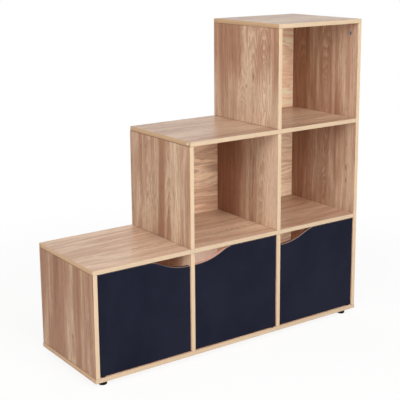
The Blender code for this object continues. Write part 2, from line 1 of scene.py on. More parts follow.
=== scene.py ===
"""Looks of the cube bookcase: finishes for boards, doors and fittings, small screws, and a plain studio."""

import math

import bpy
from bpy.props import FloatProperty, FloatVectorProperty, IntProperty, PointerProperty
from mathutils import Matrix, Vector


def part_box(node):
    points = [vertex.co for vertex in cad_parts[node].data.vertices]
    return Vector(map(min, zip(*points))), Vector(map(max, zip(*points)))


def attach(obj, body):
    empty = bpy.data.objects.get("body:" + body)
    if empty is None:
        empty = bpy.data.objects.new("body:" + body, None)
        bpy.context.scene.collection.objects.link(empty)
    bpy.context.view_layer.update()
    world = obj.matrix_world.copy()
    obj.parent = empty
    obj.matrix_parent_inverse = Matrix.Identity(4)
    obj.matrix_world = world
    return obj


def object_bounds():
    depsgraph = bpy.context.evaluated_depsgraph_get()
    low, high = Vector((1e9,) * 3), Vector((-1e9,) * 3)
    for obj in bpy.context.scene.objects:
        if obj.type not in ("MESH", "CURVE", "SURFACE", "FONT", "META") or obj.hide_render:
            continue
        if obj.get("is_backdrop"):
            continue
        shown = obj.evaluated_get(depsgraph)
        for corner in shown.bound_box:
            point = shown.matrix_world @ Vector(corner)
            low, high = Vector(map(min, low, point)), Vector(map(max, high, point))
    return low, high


bl_info = {
    "name": "Cube bookcase",
    "version": (1, 0, 0),
    "blender": (4, 5, 0),
    "location": "View3D > Sidebar > Bookcase",
    "description": "Finishes, screws and studio of a stepped cube bookcase with three doors",
    "category": "Object",
}

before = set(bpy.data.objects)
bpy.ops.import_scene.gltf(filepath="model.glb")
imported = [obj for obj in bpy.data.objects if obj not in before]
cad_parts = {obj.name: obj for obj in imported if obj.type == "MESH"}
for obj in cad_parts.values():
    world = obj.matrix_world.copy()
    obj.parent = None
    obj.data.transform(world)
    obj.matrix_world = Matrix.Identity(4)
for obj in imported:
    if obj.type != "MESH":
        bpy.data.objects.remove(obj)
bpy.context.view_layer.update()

SIDES = ("left", "middle", "right")
MILLIMETRE = 0.001
ORIGIN = (0.0, 0.0, 0.0)
WHITE = (1.0, 1.0, 1.0, 1.0)
SHARE = {"subtype": "FACTOR", "min": 0.0, "max": 1.0}

# Each board: the way its grain runs, where its print starts, the hearts of its ring figure (place on the
# grain, across it), its knots (the same and a size), its darker or paler zones (place across the grain, half
# width, how much browner), its drift (from one place on the grain to another, how much browner), and how
# light it is. Some zones and drifts are painted shade and light, as marked at each board
BOARDS = {
    "bottom_board": {"grain": "x", "start": (3.1, 0.4, 0.0), "hearts": ((-0.20, 0.03), (0.26, -0.02))},
    "level_1_board": {
        "grain": "x",
        "start": (5.7, 1.9, 0.2),
        "hearts": ((-0.30, 0.05), (0.02, -0.05), (0.34, 0.04)),
        # its drift is painted light and shade: paler towards its left end, browner towards its right end
        "drift": (0.10, 0.25, 0.45),
        "level": 0.97,
    },
    "level_2_board": {
        "grain": "x",
        "start": (9.4, 3.3, 0.5),
        "hearts": ((-0.04, -0.09), (0.30, 0.02)),
        "level": 0.895,
    },
    "top_board": {"grain": "x", "start": (12.2, 5.1, 0.9), "hearts": ((0.30, 0.02),), "level": 0.85},
    "left_side_panel": {
        "grain": "z",
        "start": (1.3, 7.7, 2.1),
        "hearts": ((0.080, -0.020),),
        "knots": ((0.105, -0.030, 0.005),),
        "zones": ((0.060, 0.030, 0.7), (-0.060, 0.024, 0.6), (0.0, 0.600, 0.45)),
        "drift": (0.06, 0.28, 0.25),
        "level": 0.88,
    },
    "lower_divider_1": {
        "grain": "z",
        "start": (2.6, 11.2, 4.3),
        "hearts": ((0.18, 0.02),),
        # its zones are painted shade and light: browner towards the rear, paler at the front edge
        "zones": ((0.040, 0.200, 2.6), (-0.150, 0.055, -3.4)),
        "level": 0.85,
    },
    "lower_divider_2": {
        "grain": "z",
        "start": (4.8, 13.6, 5.2),
        "hearts": ((0.12, -0.03),),
        # its pale zone at the rear and its high level are painted light, with the pale patch on the lower
        # back panel
        "zones": ((0.100, 0.080, -1.6),),
        "level": 1.15,
    },
    "middle_left_panel": {
        "grain": "z",
        "start": (6.2, 15.9, 6.4),
        "hearts": ((0.355, 0.062), (0.330, -0.045)),
        "knots": ((0.425, 0.062, 0.006), (0.398, -0.046, 0.005)),
        "zones": ((-0.005, 0.022, 0.9), (-0.075, 0.030, -0.5)),
        "drift": (0.34, 0.58, 0.25),
        "level": 0.95,
    },
    "middle_divider": {
        "grain": "z",
        "start": (7.7, 18.3, 27.7),
        "hearts": ((0.300, -0.070), (0.440, 0.060)),
        # its zones are painted shade and light: browner towards the rear, paler towards the front
        "zones": ((0.100, 0.110, 1.6), (-0.120, 0.080, -1.5)),
        "level": 0.86,
    },
    "top_left_panel": {
        "grain": "z",
        "start": (8.9, 20.6, 31.2),
        "hearts": ((0.680, -0.030), (0.770, -0.082), (0.640, 0.020)),
        "knots": ((0.742, -0.038, 0.007), (0.712, -0.008, 0.004)),
        "zones": ((0.095, 0.075, 0.6), (-0.085, 0.050, -0.3)),
        # its drift is painted shade and light: browner towards its top, paler towards its bottom
        "drift": (0.63, 0.84, 0.90),
    },
    "right_side_panel": {
        "grain": "z",
        "start": (10.5, 23.4, 9.6),
        "hearts": ((0.690, 0.090), (0.690, -0.012), (0.400, -0.110), (0.370, -0.012), (0.100, 0.010)),
        "knots": ((0.452, -0.112, 0.006), (0.412, -0.112, 0.005)),
        # its zones are painted shade and light: browner towards the rear, paler towards the front
        "zones": ((0.100, 0.090, 0.9), (-0.120, 0.050, -0.2)),
        "level": 0.88,
    },
}
# Each back panel: where its print starts, the hearts of its ring figure, its drift, how light it is, and its
# patch of pale pink painted light (its middle across the panel and half its width, the same up the panel)
BACKS = {
    "lower_back_panel": {
        "start": (1.1, 0.0, 2.3),
        "hearts": ((-0.28, 0.16), (0.06, 0.10), (0.30, 0.20)),
        "level": 0.78,
        "sapwood": (0.11, 0.17, 0.155, 0.10),
    },
    "middle_back_panel": {
        "start": (4.9, 0.0, 8.1),
        "hearts": ((-0.12, 0.46), (0.28, 0.50)),
        # its drift is painted light and shade: browner towards its left end, paler towards its right end
        "drift": (0.10, 0.40, -0.80),
        "level": 0.95,
    },
    "top_back_panel": {"start": (7.9, 0.0, 9.4), "hearts": ((0.20, 0.70), (0.36, 0.775)), "level": 1.06},
}
# How the print differs between level boards (x), uprights (z) and backs (wall): the axes along and across
# its grain, the cloud that it sways by and how far, how many times closer its streaks and bands lie, and its
# ring lines, how strong its bands and streaks are, how ragged its ring lines run, and how dark they are
FIGURES = {
    "x": {
        "axes": (0, 1), "sway": "sway", "sway_width": 0.03, "close": 1.0, "rings": 1.0,
        "bands": 1.0, "streaks": 0.30, "ragged": 2.6, "ring_share": 0.50,
    },
    "z": {
        "axes": (2, 1), "sway": "sway", "sway_width": 0.03, "close": 1.0, "rings": 1.0,
        "bands": 1.0, "streaks": 0.42, "ragged": 2.6, "ring_share": 0.60,
    },
    "wall": {
        "axes": (0, 2), "sway": "wall sway", "sway_width": 0.045, "close": 1.15, "rings": 0.45,
        "bands": 1.9, "streaks": 0.22, "ragged": 1.4, "ring_share": 0.70,
    },
}
# Each cloudy pattern of the print: its hills to the metre along the grain, across it and through the board,
# how far it is shifted from the others, its detail and its roughness
CLOUDS = {
    "sway": (1.6, 3.0, 3.0, 0.0, 1.0, 0.5),
    "wall sway": (3.2, 6.0, 3.0, 0.0, 1.0, 0.5),
    "ripple": (7.0, 12.0, 3.0, 3.3, 1.0, 0.5),
    "fibre": (4.5, 150.0, 50.0, 0.0, 3.0, 0.8),
    "ragged": (14.0, 60.0, 30.0, 21.3, 3.0, 0.6),
    "slow": (2.2, 14.0, 5.0, 27.7, 1.5, 0.5),
    "faint": (2.6, 9.0, 3.0, 11.3, 1.5, 0.5),
    "broad": (0.42, 9.0, 5.0, 5.1, 2.0, 0.5),
    "strand": (2.4, 70.0, 22.0, 8.6, 3.0, 0.7),
    "pink": (0.5, 7.0, 4.0, 17.9, 2.0, 0.5),
    "pore": (30.0, 520.0, 200.0, 0.0, 2.0, 0.5),
}
RIPPLE_WIDTH = 0.006
KNOT_LENGTH = 2.4  # of a knot along the grain, times its width
KNOT_PUSH = 0.6  # how far the grain bends round a knot, times its size
KNOT_EDGE = (1.1, 0.2)  # where a knot begins to show and where it shows in full, times its size
HEART_TAIL = 0.3  # what a length on the low side of a heart counts, against one on its high side
FLAME_LENGTH = 0.12  # past about this the rings run on along the grain, and hardly close
HEART_SWAY = 1.4  # how far the rings follow the sway of the grain

# Each lamp: how many degrees it stands to the left of the front, and how many it is raised
LAMPS = {"front": (0, 15), "high": (15, 45), "side": (60, 20), "rear": (200, 14)}
FLOOR_HALF_SIDE = 9.0
SHADOW_REACH = (1.6, 0.7)  # from the middle to where the floor's shading has gone, and to where it is full
SENSOR_WIDTH = 36.0


def tone(red, green, blue):
    """A colour as it shows on a screen, 0 to 255, in the units that a shader takes."""
    shown = [channel / 255 for channel in (red, green, blue)]
    return tuple(c / 12.92 if c <= 0.04045 else ((c + 0.055) / 1.055) ** 2.4 for c in shown)


def paint(name, description, red, green, blue):
    """A colour that the user may change."""
    colour = tone(red, green, blue)
    return FloatVectorProperty(name=name, description=description, subtype="COLOR", default=colour)


def number(name, description, default, **kind):
    """A number that the user may change, with its unit or subtype and its limits."""
    return FloatProperty(name=name, description=description, default=default, **kind)


def find_socket(sockets, key):
    """A socket by its place in the row, its identifier, or its name."""
    if isinstance(key, int):
        return sockets[key]
    for socket in sockets:
        if socket.identifier == key:
            return socket
    for socket in sockets:
        if socket.name == key and socket.enabled:
            return socket
    raise KeyError(f"no socket {key!r} among {[socket.identifier for socket in sockets]}")


class Wire:
    """What leaves a socket of a node tree. Sums written on it add Math nodes."""

    def __init__(self, bench, socket):
        self.bench = bench
        self.socket = socket

    def __add__(self, other):
        return self.bench.sum("ADD", self, other)

    def __radd__(self, other):
        return self.bench.sum("ADD", other, self)

    def __sub__(self, other):
        return self.bench.sum("SUBTRACT", self, other)

    def __rsub__(self, other):
        return self.bench.sum("SUBTRACT", other, self)

    def __mul__(self, other):
        return self.bench.sum("MULTIPLY", self, other)

    def __rmul__(self, other):
        return self.bench.sum("MULTIPLY", other, self)

    def __truediv__(self, other):
        return self.bench.sum("DIVIDE", self, other)

    def __rtruediv__(self, other):
        return self.bench.sum("DIVIDE", other, self)

    def __pow__(self, other):
        return self.bench.sum("POWER", self, other)

    def __rpow__(self, other):
        return self.bench.sum("POWER", other, self)

    def __abs__(self):
        return self.bench.sum("ABSOLUTE", self)

    def fraction(self):
        return self.bench.sum("FRACT", self)

    def least(self, other):
        return self.bench.sum("MINIMUM", self, other)

    def most(self, other):
        return self.bench.sum("MAXIMUM", self, other)

    def rise(self, start, end):
        """0 before start, 1 after end, and smooth between them; it falls where end is the lower."""
        low, high, first, last = (start, end, 0.0, 1.0) if start < end else (end, start, 1.0, 0.0)
        return self.bench.node(
            "ShaderNodeMapRange",
            {"interpolation_type": "SMOOTHSTEP"},
            {"Value": self, "From Min": low, "From Max": high, "To Min": first, "To Max": last},
        )["Result"]


class Made:
    """A node that is in its tree; its outputs are taken by name."""

    def __init__(self, bench, node):
        self.bench = bench
        self.outputs = node.outputs

    def __getitem__(self, key):
        return Wire(self.bench, find_socket(self.outputs, key))


class Bench:
    """A node tree being put together."""

    def __init__(self, tree):
        self.tree = tree
        tree.nodes.clear()

    def node(self, kind, settings=None, values=None):
        """Adds a node: its own settings first, then a value, a wire or a list of wires for each socket."""
        made = self.tree.nodes.new(kind)
        for key, value in (settings or {}).items():
            setattr(made, key, value)
        for key, value in (values or {}).items():
            socket = find_socket(made.inputs, key)
            for item in value if isinstance(value, list) else [value]:
                if isinstance(item, Wire):
                    self.tree.links.new(item.socket, socket)
                else:
                    socket.default_value = item
        return Made(self, made)

    def sum(self, operation, *values):
        """A Math node."""
        return self.node("ShaderNodeMath", {"operation": operation}, dict(enumerate(values)))["Value"]

    def vector_sum(self, operation, *values, **named):
        """A Vector Math node."""
        sockets = {**dict(enumerate(values)), **named}
        return self.node("ShaderNodeVectorMath", {"operation": operation}, sockets)["Vector"]

    def scale(self, vector, amount):
        """A colour or a direction times an amount."""
        return self.vector_sum("SCALE", vector if isinstance(vector, Wire) else tuple(vector), Scale=amount)

    def mix(self, share, first, second):
        """Colour first where share is 0, and colour second where it is 1."""
        values = {"Factor_Float": share}
        for key, colour in (("A_Color", first), ("B_Color", second)):
            values[key] = colour if isinstance(colour, Wire) else (*colour, 1.0)
        return self.node("ShaderNodeMix", {"data_type": "RGBA"}, values)["Result_Color"]

    def noise(self, place, hills, shift, detail, roughness=0.5):
        """Cloudy pattern, 0 to 1, with so many hills to the metre along each axis, or along all three."""
        stretch = tuple(hills) if isinstance(hills, (list, tuple)) else (hills, hills, hills)
        moved = self.vector_sum("MULTIPLY_ADD", place, stretch, tuple(shift))
        values = {"Vector": moved, "Scale": 1.0, "Detail": detail, "Roughness": roughness}
        return self.node("ShaderNodeTexNoise", {}, values)["Fac"]


class Finish(Bench):
    """A material being mixed, with the places on the piece that its patterns follow."""

    def __init__(self, name):
        self.material = bpy.data.materials.new(name)
        self.material.use_nodes = True
        super().__init__(self.material.node_tree)
        places = self.node("ShaderNodeTexCoord")
        self.place = places["Object"]
        parts = self.node("ShaderNodeSeparateXYZ", {}, {"Vector": self.place})
        self.x, self.y, self.z = parts["X"], parts["Y"], parts["Z"]
        facing = self.node("ShaderNodeSeparateXYZ", {}, {"Vector": places["Normal"]})
        self.facing_y, self.facing_z = facing["Y"], facing["Z"]

    def mottle(self, hills, shift, detail=2.0, roughness=0.5):
        """Noise that stays where it is on the piece."""
        return self.noise(self.place, hills, shift, detail, roughness)

    def from_axis(self, low, high):
        """How far a place lies from the line along x through the middle of a box."""
        across, up = self.y - (low.y + high.y) / 2, self.z - (low.z + high.z) / 2
        return (across ** 2.0 + up ** 2.0) ** 0.5

    def height(self, level, depth, strength):
        """The normal of a surface that is raised by level times depth."""
        values = {"Height": level, "Distance": depth, "Strength": strength}
        return self.node("ShaderNodeBump", {}, values)["Normal"]

    def surface(self, colour, roughness, normal, metallic=0.0, gloss=0.5):
        """Ends the material with one shader; gloss is the strength of a plain surface's reflection."""
        values = {"Base Color": colour, "Roughness": roughness, "Metallic": metallic, "Normal": normal}
        shader = self.node("ShaderNodeBsdfPrincipled", {}, {**values, "Specular IOR Level": gloss})
        self.node("ShaderNodeOutputMaterial", {}, {"Surface": shader["BSDF"]})
        return self.material


class OakLook(bpy.types.PropertyGroup):
    """Colours and figure of the oak print"""

    tan: paint("Tan", "Light ground of the print", 223, 193, 165)
    brown: paint("Brown", "Darker streaks", 181, 138, 112)
    pink: paint("Pink", "Warm cast of some streaks", 200, 156, 134)
    pale: paint("Pale", "Sapwood, paler than the ground", 240, 209, 181)
    # Blush: colour of the pale pink patch of painted light on the lower back panel
    blush: paint("Blush", "Pale pink sapwood of the lower back panel", 252, 229, 213)
    line: paint("Line", "Lines of the yearly rings", 146, 103, 78)
    pore: paint("Pore", "Short dark pores", 116, 78, 58)
    tape: paint("Edge tape", "Pale tape on the front edges", 198, 176, 149)
    end: paint("Board end", "Tape on the ends of the level boards", 202, 167, 128)
    # Painted shade: the dark line at the ends of the uprights and along the bottom of the level boards' end
    # tapes
    joint: paint("Tape joint", "Glue line beside a tape", 150, 112, 82)
    tape_thickness: number("Tape thickness", "How far a tape shows beside its edge", 0.0005, unit="LENGTH")
    ring_count: number("Rings", "Ring lines to the metre, outward from a heart", 190.0)
    band_count: number("Bands", "Paler and darker bands to the metre, outward from a heart", 15.0)
    band_depth: number("Band depth", "How much browner a band's dark side is", 0.46)
    flame: number("Flame", "Width of a ring figure near its heart, as a share of its height", 0.46)
    gloss: number("Gloss", "Strength of the reflection on the level boards", 0.13, **SHARE)
    upright_gloss: number(
        "Upright gloss", "Strength of the reflection on the uprights and backs", 0.03, **SHARE
    )
    back_level: number("Back level", "How much lighter the back panels' print is", 1.36)
    back_straw: paint("Back straw", "Pale yellowish ground of the back panels", 236, 214, 184)
    back_pale: number("Back paleness", "Least share of the pale colour on the back panels", 0.32, **SHARE)
    roughness: number("Roughness", "Roughness of the satin face", 0.30, **SHARE)
    pore_depth: number("Pore depth", "Depth of the pressed pores", 0.0002, unit="LENGTH")


class DoorLook(bpy.types.PropertyGroup):
    """Colours of the door slabs"""

    navy: paint("Navy", "Colour of the faces", 17, 19, 33)
    bloom: paint("Bloom", "Fainter cloudy patches", 25, 27, 41)
    # The pale line along the front of each cut edge is partly the board core and partly a painted highlight
    # on its arris
    cut_edge: paint("Core line", "Board core that shows along the front of the cut-out", 176, 156, 146)
    core_and_highlight_line: number(
        "Core line width", "How far the board core shows on the cut edge", 0.0018, unit="LENGTH"
    )
    # The rest of each cut edge is painted shade on the left and right doors and painted light on the middle
    # door
    left_cut: paint("Left cut-out", "Rest of the left door's cut edge", 74, 52, 42)
    middle_cut: paint("Middle cut-out", "Rest of the middle door's cut edge", 206, 160, 142)
    right_cut: paint("Right cut-out", "Rest of the right door's cut edge", 110, 76, 60)
    edge: paint("Edge", "Straight edges", 36, 38, 54)
    roughness: number("Roughness", "Roughness of the faces", 0.55, **SHARE)
    gloss: number("Gloss", "Strength of the reflection", 0.08, **SHARE)
    grain_depth: number("Texture depth", "Depth of the fine pressed texture", 0.00012, unit="LENGTH")


class FittingLook(bpy.types.PropertyGroup):
    """Colours of the metal, plastic and wooden fittings"""

    zinc: paint("Zinc", "Cast cam locks", 206, 200, 208)
    # Recess: painted shade in the cam locks' recesses, and the colour of the stain patches on the steel
    recess: paint("Recess", "Dirt in the driver recesses", 84, 76, 74)
    steel: paint("Steel", "Pins, bolts, plates and screws", 196, 197, 202)
    white: paint("White plastic", "Catches and the upper plug", 236, 233, 228)
    beige: paint("Beige plastic", "The lower plug", 214, 184, 152)
    black: paint("Black plastic", "Feet and hinge bushes", 15, 13, 11)
    beech: paint("Beech", "Dowels", 214, 178, 134)


class ScrewSizes(bpy.types.PropertyGroup):
    """Sizes of the small screws"""

    catch_head: number("Catch screw head", "Diameter of the heads on the catch lugs", 0.0056, unit="LENGTH")
    plate_head: number(
        "Plate screw head", "Diameter of the heads let into the strike plates", 0.0034, unit="LENGTH"
    )
    board_head: number(
        "Board screw head", "Diameter of the heads under the bottom board", 0.0070, unit="LENGTH"
    )
    dome: number("Dome", "Height of a pan head", 0.0014, unit="LENGTH")
    flat_dome: number("Flat dome", "Height of a countersunk head above its rim", 0.0004, unit="LENGTH")
    slot_width: number("Slot width", "Width of the cross recess", 0.0006, unit="LENGTH")
    seed: IntProperty(name="Turn seed", description="Picks how far each screw is turned", default=4)


class StudioLook(bpy.types.PropertyGroup):
    """Floor, lamps and camera"""

    floor: paint("Floor", "Colour of the floor", 250, 250, 250)
    shadow_share: number("Shadow", "Share of the floor's own shading that shows", 0.12, **SHARE)
    world_level: number("World level", "Light from all round", 0.24)
    front_power: number("Front lamp", "Power of the large lamp in front, in watts", 58.0)
    high_power: number("High lamp", "Power of the lamp above the front, in watts", 64.0)
    side_power: number("Side lamp", "Power of the lamp at the left, in watts", 52.0)
    rear_power: number("Rear lamp", "Power of the lamp behind, in watts", 45.0)
    lamp_distance: number("Lamp distance", "From the bookcase to each lamp", 3.6, unit="LENGTH")
    lamp_size: number("Lamp size", "Side of each square lamp", 2.0, unit="LENGTH")
    lens: number("Lens", "Focal length of the camera", 86.499, unit="CAMERA")
    lens_shift: number("Lens shift", "Upward shift of the lens, in picture widths", -0.11)
    camera_place: FloatVectorProperty(
        name="Camera place", description="Where the camera stands", subtype="TRANSLATION", unit="LENGTH",
        precision=5, default=(-1.534163, -2.154821, 1.097906),
    )
    camera_turn: number("Camera turn", "Turn to the right of straight ahead", 0.61344893, subtype="ANGLE")
    camera_tip: number("Camera tip", "Tip of the camera towards the floor", 0.21328285, subtype="ANGLE")
    camera_roll: number("Camera roll", "Roll of the camera", -0.00820025, subtype="ANGLE")


class BookcaseLook(bpy.types.PropertyGroup):
    """Everything about the bookcase's looks that a user may change"""

    oak: PointerProperty(name="Oak", description="The oak print", type=OakLook)
    doors: PointerProperty(name="Doors", description="The door slabs", type=DoorLook)
    fittings: PointerProperty(name="Fittings", description="The fittings", type=FittingLook)
    screws: PointerProperty(name="Screws", description="The small screws", type=ScrewSizes)
    studio: PointerProperty(name="Studio", description="The studio", type=StudioLook)


def look():
    """What the user may change, as it stands in the scene."""
    return bpy.context.scene.bookcase_look


def put(name, data):
    """A new object in the scene."""
    made = bpy.data.objects.new(name, data)
    bpy.context.scene.collection.objects.link(made)
    return made


def dress(name, material):
    """Gives a CAD node its finish in every material slot it has."""
    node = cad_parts[name]
    if not node.material_slots:
        node.data.materials.append(material)
    for holder in node.material_slots:
        holder.material = material


def near(wire, face, thickness):
    """1 within thickness of a face at that coordinate, 0 beyond, with a narrow soft edge."""
    soft_edge = 0.00015
    return abs(wire - face).rise(thickness + soft_edge, thickness)


def oak_face(finish, grain, start, hearts, knots=(), zones=(), drift=None):
    """The oak print: how brown, how pale, how pink, how dark its ring lines, its fibres and its pores are."""
    oak = look().oak
    figure = FIGURES[grain]
    along, across = figure["axes"]
    deep = 3 - along - across
    coordinates = (finish.x, finish.y, finish.z)
    on_grain, over_grain = coordinates[along], coordinates[across]

    def cloud(kind, place, closer=1.0):
        """One of the print's cloudy patterns, laid along the grain."""
        hills_along, hills_across, hills_through, shift, detail, roughness = CLOUDS[kind]
        hills = [0.0, 0.0, 0.0]
        hills[along], hills[across], hills[deep] = hills_along, hills_across * closer, hills_through
        return finish.noise(place, hills, [value + shift for value in start], detail, roughness)

    # The grain sways, ripples and bends round its knots
    bend = (cloud(figure["sway"], finish.place) - 0.5) * figure["sway_width"]
    bend = bend + (cloud("ripple", finish.place) - 0.5) * RIPPLE_WIDTH
    eyes = None
    for place, side, size in knots:
        run = (on_grain - place) / (size * KNOT_LENGTH)
        step = (over_grain - side) / size
        apart = (run * run + step * step) ** 0.5
        bend = bend + step * (size * KNOT_PUSH) / (1.0 + apart * apart)
        eye = apart.rise(*KNOT_EDGE)
        eyes = eye if eyes is None else eyes.most(eye)
    aside = [0.0, 0.0, 0.0]
    aside[across] = 1.0
    bent = finish.vector_sum("ADD", finish.place, finish.scale(aside, bend))
    fibre = cloud("fibre", bent)
    ragged = cloud("ragged", finish.place)

    # Its rings and bands are counted outward from the nearest heart
    reach = None
    for place, side in hearts:
        run = on_grain - place
        run = run.most(run * -HEART_TAIL)
        run = run * oak.flame / (1.0 + run / FLAME_LENGTH)
        step = over_grain + bend * HEART_SWAY - side
        apart = (run * run + step * step) ** 0.5
        reach = apart if reach is None else reach.least(apart)
    slow = cloud("slow", finish.place)
    band = (reach * (oak.band_count * figure["close"]) + slow * 3.6 + ragged * 0.5).fraction()
    band = abs(band - 0.5).rise(0.06, 0.44)
    ring = (reach * (oak.ring_count * figure["rings"]) + ragged * figure["ragged"] + slow * 5.0).fraction()
    early = ring.rise(0.5, 0.1)
    ring = ring ** 2.0 * ring.rise(1.0, 0.86)

    # How brown a place is: broad and fine streaks, bands and pale early wood, then its zones and its drift,
    # which on some boards are painted shade and light
    faint = cloud("faint", finish.place).rise(0.34, 0.60)
    broad = cloud("broad", bent, figure["close"]).rise(0.38, 0.62)
    strand = cloud("strand", bent, figure["close"]).rise(0.38, 0.62)
    banded = (band - 0.5) * oak.band_depth * figure["bands"]
    brown = broad * 0.45 + strand * figure["streaks"] + banded - early * faint * 0.30
    for place, half_width, browner in zones:
        brown = brown + abs(over_grain + bend - place).rise(half_width, 0.0) * browner
    if drift:
        start_place, end_place, browner = drift
        brown = brown + (on_grain.rise(start_place, end_place) - 0.5) * browner
    print_of = {
        "brown": brown.most(0.0).least(1.0),
        # Past full brown a place goes on towards the ring-line colour; on the rears of the lower left divider
        # and the middle divider this is painted shade
        "deep": (brown - 1.0).most(0.0).least(1.0),
        "pale": (brown * -1.2).most(0.0).least(1.0),
        "pink": cloud("pink", bent).rise(0.42, 0.68),
        "ring": ring * (0.25 + 0.75 * faint) * (fibre.rise(0.25, 0.7) + 0.3),
        "fibre": fibre,
        "pore": cloud("pore", bent).rise(0.56, 0.68),
    }
    if eyes is not None:
        print_of["eye"] = eyes
    return print_of


def oak_colour(finish, print_of, level, ring_share, pale):
    """Colour of the print: its ground, and each of its parts laid over it by its share."""
    oak = look().oak
    colour = finish.mix(print_of["brown"], oak.tan, oak.brown)
    colour = finish.mix(print_of["pale"], colour, pale)
    for part, share, tint in (
        ("pink", 0.35, oak.pink),
        ("deep", 0.6, oak.line),
        ("ring", ring_share, oak.line),
        ("pore", 0.35, oak.pore),
        ("eye", 0.65, oak.line),
    ):
        if part in print_of:
            colour = finish.mix(print_of[part] * share, colour, tint)
    darkest, contrast = 0.55, 0.90
    return finish.scale(colour, print_of["fibre"] * (contrast * level) + darkest * level)


def pressed_print(finish, print_of, strength):
    """The normal of a face with raised fibres and sunk pores."""
    return finish.height(print_of["fibre"] * 0.4 - print_of["pore"], look().oak.pore_depth, strength)


def oak_board(name, grain, start, hearts, knots=(), zones=(), drift=None, level=1.0):
    """Satin oak laminate with pale tape on the front edge and darker tape on the ends."""
    oak = look().oak
    finish = Finish(f"oak {name.replace('_', ' ')}")
    low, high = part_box(name)
    thickness = oak.tape_thickness
    level_board = grain == "x"
    print_of = oak_face(finish, grain, start, hearts, knots, zones, drift)
    colour = oak_colour(finish, print_of, level, FIGURES[grain]["ring_share"], oak.pale)
    strands = finish.mottle((2.0, 2.0, 300.0) if level_board else (300.0, 2.0, 2.0), start)
    tape = finish.mix(strands.rise(0.35, 0.75) * 0.45, oak.tape, oak.end)
    front = near(finish.y, low.y, thickness)
    rear = near(finish.y, high.y, thickness)
    if level_board:
        ends = near(finish.x, low.x, thickness).most(near(finish.x, high.x, thickness))
        # Painted shade: the lower part of each end is browner, with a dark line along its bottom edge
        shade_below, shade_in_full = low.z + 0.0064, low.z + 0.0048
        end = finish.mix(finish.z.rise(shade_below, shade_in_full) * 0.35, oak.end, oak.brown)
        end = finish.mix(near(finish.z, low.z, thickness) * 0.6, end, oak.joint)
        end = finish.mix(strands.rise(0.4, 0.7) * 0.25, end, oak.brown)
        colour = finish.mix(ends, colour, end)
        tape = finish.scale(tape, 0.93)
    else:
        # Painted shade: a dark line at the top and bottom ends of each upright, where it meets the boards
        gap_shade_width = 0.0006
        gap_shade_line = near(finish.z, low.z, gap_shade_width).most(near(finish.z, high.z, gap_shade_width))
        colour = finish.mix(gap_shade_line * 0.7, colour, oak.joint)
    colour = finish.mix(front.most(rear), colour, tape)
    roughness = oak.roughness - 0.04 + finish.mottle(14.0, start) * 0.08 + print_of["pore"] * 0.10
    gloss = oak.gloss if level_board else oak.upright_gloss
    return finish.surface(colour, roughness, pressed_print(finish, print_of, 0.35), gloss=gloss)


def oak_back(name, start, hearts, level, drift=None, sapwood=None):
    """Thin printed board: wavy grain that runs across, in light and dark bands."""
    oak = look().oak
    lightest, faint_pink = 0.96, 0.2
    finish = Finish(f"oak {name.replace('_', ' ')}")
    print_of = oak_face(finish, "wall", start, hearts, drift=drift)
    print_of["pale"] = print_of["pale"].most(oak.back_pale * level)
    print_of["pink"] = print_of["pink"] * faint_pink
    ring_share = FIGURES["wall"]["ring_share"]
    colour = oak_colour(finish, print_of, oak.back_level * level, ring_share, oak.back_straw)
    colour = finish.vector_sum("MINIMUM", colour, (lightest, lightest, lightest))
    # Painted light: a pale pink patch with fine vertical ribs on the front face, where one is given
    if sapwood:
        across, half_width, up, half_height = sapwood
        front = finish.facing_y.rise(0.3, -0.3)
        patch = abs(finish.x - across).rise(half_width, half_width * 0.5) * front
        patch = patch * abs(finish.z - up).rise(half_height, half_height * 0.6)
        ribs = finish.mottle((260.0, 1.0, 4.0), start, 3.0)
        colour = finish.mix(patch, colour, finish.scale(oak.blush, 0.84 + ribs * 0.32))
    roughness = oak.roughness + 0.12 + finish.mottle(9.0, start) * 0.10
    normal = pressed_print(finish, print_of, 0.3)
    return finish.surface(colour, roughness, normal, gloss=oak.upright_gloss)


def navy_slab(side):
    """Navy laminate with faint cloudy patches, a fine pressed texture, and cut edges in painted shade on the
    left and right doors and painted light on the middle one, with a pale front line that is partly board core
    and partly a painted highlight.
    """
    door = look().doors
    finish = Finish(f"navy {side} door")
    low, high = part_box(f"{side}_door")
    shift = (low.x * 7.0, 0.0, 3.0)
    cloud = finish.mottle((7.0, 7.0, 5.0), shift, 4.0, 0.6)
    speck = finish.mottle(420.0, shift, 2.0, 0.6)
    face = finish.scale(finish.mix(cloud.rise(0.3, 0.7), door.navy, door.bloom), 0.85 + speck * 0.3)
    edges = 1.0 - abs(finish.facing_y).rise(0.55, 0.85)
    below_top = finish.z.rise(high.z - 0.0002, high.z - 0.0006)
    cut = below_top * finish.facing_z.rise(0.3, 0.6)
    # Pale line along the front of the cut edge: partly the board core, partly a painted highlight on its
    # arris
    core_and_highlight_end, soft_edge = low.y + door.core_and_highlight_line, 0.0004
    core_and_highlight = cut * finish.y.rise(core_and_highlight_end + soft_edge, core_and_highlight_end)
    # The rest of the cut edge takes each door's own colour: painted shade on the left and right doors,
    # painted light on the middle one
    edge = finish.mix(cut, door.edge, getattr(door, f"{side}_cut"))
    edge = finish.mix(core_and_highlight, edge, door.cut_edge)
    colour = finish.mix(edges, face, edge)
    roughness = door.roughness - 0.06 + cloud * 0.08 + speck * 0.06
    normal = finish.height(finish.mottle(900.0, shift), door.grain_depth, 0.25)
    return finish.surface(colour, roughness, normal, gloss=door.gloss)


